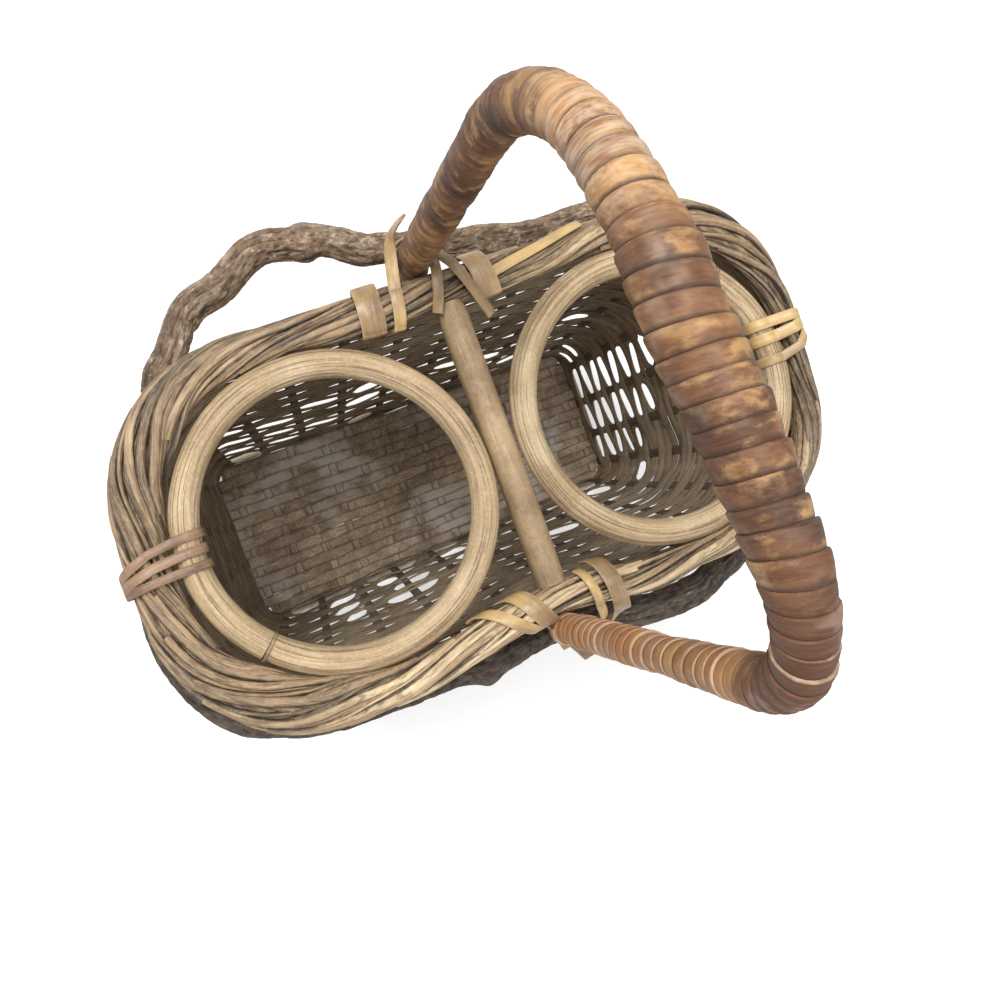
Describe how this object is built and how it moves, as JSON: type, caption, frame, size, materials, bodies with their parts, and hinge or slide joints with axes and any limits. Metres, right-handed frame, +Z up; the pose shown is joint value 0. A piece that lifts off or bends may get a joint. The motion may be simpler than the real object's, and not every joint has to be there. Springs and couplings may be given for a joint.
{
  "type": "wine bottle basket",
  "caption": "Woven basket for wine bottles, with a bundled strand rim, cane bottle rings, a divider, bark vines along its sides and a tall pole handle wound with peel.",
  "frame": {"origin": "middle of the floor's flat underside, on the surface that the basket stands on", "axes": "+X along the basket's length, from the left bottle ring to the right one, +Y to the rear long side, +Z up through the handle"},
  "size_m": [0.259, 0.1824, 0.3761],
  "materials": {
    "weave_grey": "matt aged split cane, greyish brown",
    "weave_dark": "matt aged split cane, darker brown",
    "stake_brown": "matt flat stake, dark brown",
    "rim_straw": "satin straw-coloured strand",
    "rim_tan": "satin tan strand",
    "cane_pale": "satin pale cane with fine grain",
    "cane_pink": "satin pinkish cane with fine pores",
    "pole_brown": "matt dark pole",
    "peel_honey": "glossy honey to reddish brown peel",
    "vine_bark": "rough grey-brown bark",
    "lash_tan": "satin tan peel strip",
    "lash_yellow": "satin yellow-tan peel strip"
  },
  "bodies": {
    "root": {"woven_floor": "weave_dark", "woven_wall": "weave_grey", "stake_01": "stake_brown", "stake_02": "stake_brown", "stake_03": "stake_brown", "stake_04": "stake_brown", "stake_05": "stake_brown", "stake_06": "stake_brown", "stake_07": "stake_brown", "stake_08": "stake_brown", "stake_09": "stake_brown", "stake_10": "stake_brown", "stake_11": "stake_brown", "stake_12": "stake_brown", "stake_13": "stake_brown", "stake_14": "stake_brown", "stake_15": "stake_brown", "stake_16": "stake_brown", "stake_17": "stake_brown", "stake_18": "stake_brown", "stake_19": "stake_brown", "stake_20": "stake_brown", "stake_21": "stake_brown", "stake_22": "stake_brown", "stake_23": "stake_brown", "stake_24": "stake_brown", "stake_25": "stake_brown", "stake_26": "stake_brown", "stake_27": "stake_brown", "stake_28": "stake_brown", "rim_core": "rim_tan", "rim_strand_1": "rim_straw", "rim_strand_2": "rim_straw", "rim_strand_3": "rim_straw", "rim_strand_4": "rim_straw", "rim_strand_5": "rim_straw", "rim_strand_6": "rim_straw", "bottle_ring_left": "cane_pale", "bottle_ring_right": "cane_pale", "divider_rod": "cane_pink", "handle_pole": "pole_brown", "handle_wrap": "peel_honey", "vine_rear": "vine_bark", "vine_front": "vine_bark", "foot_lashing_rear": "lash_tan", "foot_lashing_front": "lash_tan", "side_lashing_rear_left": "lash_tan", "side_lashing_rear_right": "lash_tan", "side_lashing_front_left": "lash_tan", "side_lashing_front_right": "lash_tan", "end_lashing_left_1": "lash_yellow", "end_lashing_left_2": "lash_yellow", "end_lashing_right_1": "lash_yellow", "end_lashing_right_2": "lash_yellow"}
  },
  "joints": []
}
